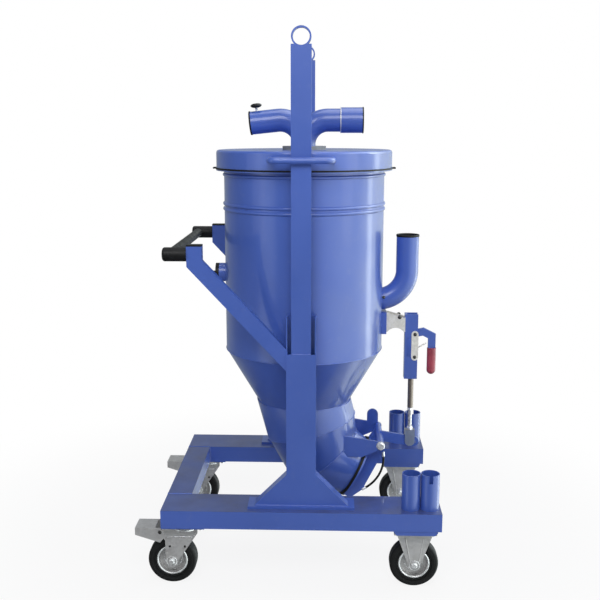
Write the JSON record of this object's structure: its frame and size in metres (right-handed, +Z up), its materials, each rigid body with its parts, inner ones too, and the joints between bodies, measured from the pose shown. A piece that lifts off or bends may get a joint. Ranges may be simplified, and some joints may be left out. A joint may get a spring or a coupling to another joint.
{
  "type": "mobile pre-separator",
  "caption": "Dust hopper with conical base, bent discharge spout and toggle-worked flap, in a lifting frame on casters, with pipes for suction hoses.",
  "frame": {"origin": "on the floor, under the middle of the overall box", "axes": "+Z up, +X towards the discharge flap and the fixed casters, the push handle on the -X side"},
  "size_m": [1.0045, 0.734, 1.7781],
  "materials": {
    "blue_paint": "gloss powder coat",
    "zinc_plate": "zinc plated",
    "black_plastic": "satin",
    "black_rubber": "matte",
    "caster_tyre": "matte",
    "red_plastic": "satin",
    "rod_steel": "turned"
  },
  "bodies": {
    "frame": {"near_rail": "blue_paint", "far_rail": "blue_paint", "cross_member": "blue_paint", "caster_pads": "blue_paint", "tool_sockets": "blue_paint", "base_plates": "blue_paint", "near_post": "blue_paint", "far_post": "blue_paint", "near_cover": "blue_paint", "far_cover": "blue_paint", "near_lift_bar": "blue_paint", "far_lift_bar": "blue_paint", "lift_eyes": "blue_paint", "near_arm": "blue_paint", "far_arm": "blue_paint", "push_handle": "black_plastic", "tank_shell": "blue_paint", "tank_flange": "blue_paint", "hopper_cone": "blue_paint", "discharge_elbow": "blue_paint", "lid": "blue_paint", "lid_gasket": "black_rubber", "lid_loops": "blue_paint", "outlet_flange": "zinc_plate", "right_outlet": "blue_paint", "left_outlet": "blue_paint", "right_spigot": "blue_paint", "left_spigot": "blue_paint", "clamp_screw": "black_plastic", "inlet_elbow": "blue_paint", "side_port": "blue_paint", "port_cap": "black_plastic", "clamp_saddle": "blue_paint", "clamp_bracket": "zinc_plate", "clamp_body": "blue_paint", "side_plates": "zinc_plate", "flap_brackets": "blue_paint", "hinge_pin": "zinc_plate", "swivel_plates": "zinc_plate", "fixed_forks": "zinc_plate"},
    "hand_lever": {"hand_lever": "blue_paint", "red_grip": "red_plastic"},
    "plunger": {"plunger_rod": "rod_steel"},
    "flap": {"flap_frame": "blue_paint", "flap_disc": "blue_paint", "flap_seal": "black_rubber", "earth_cable": "black_rubber"},
    "near_swivel": {"near_swivel_fork": "zinc_plate"},
    "near_left_wheel": {"near_left_rim": "zinc_plate", "near_left_tyre": "caster_tyre"},
    "near_right_wheel": {"near_right_rim": "zinc_plate", "near_right_tyre": "caster_tyre"},
    "near_brake_pedal": {"near_pedal": "zinc_plate"},
    "far_swivel": {"far_swivel_fork": "zinc_plate"},
    "far_left_wheel": {"far_left_rim": "zinc_plate", "far_left_tyre": "caster_tyre"},
    "far_right_wheel": {"far_right_rim": "zinc_plate", "far_right_tyre": "caster_tyre"},
    "far_brake_pedal": {"far_pedal": "zinc_plate"}
  },
  "joints": [
    {"name": "near_swivel_turn", "type": "hinge", "parent": "frame", "child": "near_swivel", "pos_m": [-0.342, -0.297, 0.2007], "axis": [0, 0, 1], "continuous": true},
    {"name": "near_left_wheel_roll", "type": "hinge", "parent": "near_swivel", "child": "near_left_wheel", "pos_m": [-0.386, -0.297, 0.08], "axis": [0, 1, 0], "continuous": true},
    {"name": "near_brake_press", "type": "hinge", "parent": "near_swivel", "child": "near_brake_pedal", "pos_m": [-0.422, -0.297, 0.1837], "axis": [0, -1, 0], "range_deg": [0, 12]},
    {"name": "near_right_wheel_roll", "type": "hinge", "parent": "frame", "child": "near_right_wheel", "pos_m": [0.41, -0.297, 0.08], "axis": [0, 1, 0], "continuous": true},
    {"name": "far_swivel_turn", "type": "hinge", "parent": "frame", "child": "far_swivel", "pos_m": [-0.342, 0.297, 0.2007], "axis": [0, 0, 1], "continuous": true},
    {"name": "far_left_wheel_roll", "type": "hinge", "parent": "far_swivel", "child": "far_left_wheel", "pos_m": [-0.386, 0.297, 0.08], "axis": [0, 1, 0], "continuous": true},
    {"name": "far_brake_press", "type": "hinge", "parent": "far_swivel", "child": "far_brake_pedal", "pos_m": [-0.422, 0.297, 0.1837], "axis": [0, -1, 0], "range_deg": [0, 12]},
    {"name": "far_right_wheel_roll", "type": "hinge", "parent": "frame", "child": "far_right_wheel", "pos_m": [0.41, 0.297, 0.08], "axis": [0, 1, 0], "continuous": true},
    {"name": "hand_lever_swing", "type": "hinge", "parent": "frame", "child": "hand_lever", "pos_m": [0.425, 0, 0.782], "axis": [0, -1, 0], "range_deg": [0, 90]},
    {"name": "plunger_stroke", "type": "slide", "parent": "frame", "child": "plunger", "axis": [0, 0, 1], "range_m": [0, 0.0751]},
    {"name": "flap_swing", "type": "hinge", "parent": "frame", "child": "flap", "pos_m": [0.30772, 0, 0.40794], "axis": [0, -1, 0], "range_deg": [0, 37.25]}
  ],
  "couplings": [
    {"joint": "plunger_stroke", "follows": "hand_lever_swing", "m_per_rad": 0.047746},
    {"joint": "flap_swing", "follows": "hand_lever_swing", "ratio": 0.41333}
  ]
}
